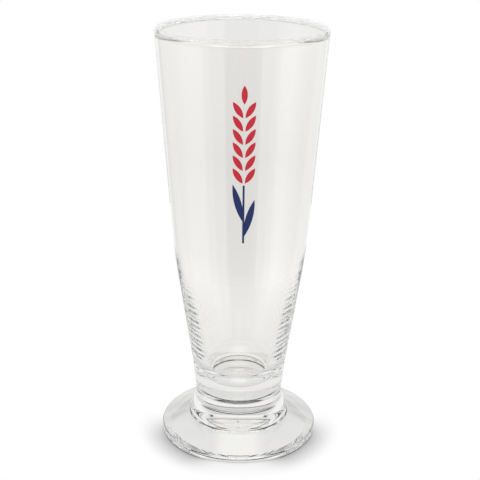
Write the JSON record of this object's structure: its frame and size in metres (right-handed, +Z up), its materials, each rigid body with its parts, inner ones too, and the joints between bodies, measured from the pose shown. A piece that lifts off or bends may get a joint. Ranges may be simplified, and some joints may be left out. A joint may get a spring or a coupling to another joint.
{
  "type": "pilsner glass",
  "caption": "Tall tapered beer glass with a thick solid base and a round lip, fused to a short neck and a flared round foot, with a fired-on printed ear of grain on the front.",
  "frame": {"origin": "centre of the foot, on the surface that the glass stands on", "axes": "+Z up along the axis of the glass, -Y towards the printed front"},
  "size_m": [0.0798, 0.0798, 0.2055],
  "materials": {
    "bowl_glass": "clear fire-polished soda-lime glass",
    "foot_glass": "clear pressed soda-lime glass, fire-polished",
    "blue_ink": "fired-on glass enamel, satin gloss",
    "red_ink": "fired-on glass enamel, satin gloss"
  },
  "bodies": {
    "root": {"bowl": "bowl_glass", "foot": "foot_glass", "print_stalk": "blue_ink", "print_ear": "red_ink"}
  },
  "joints": []
}
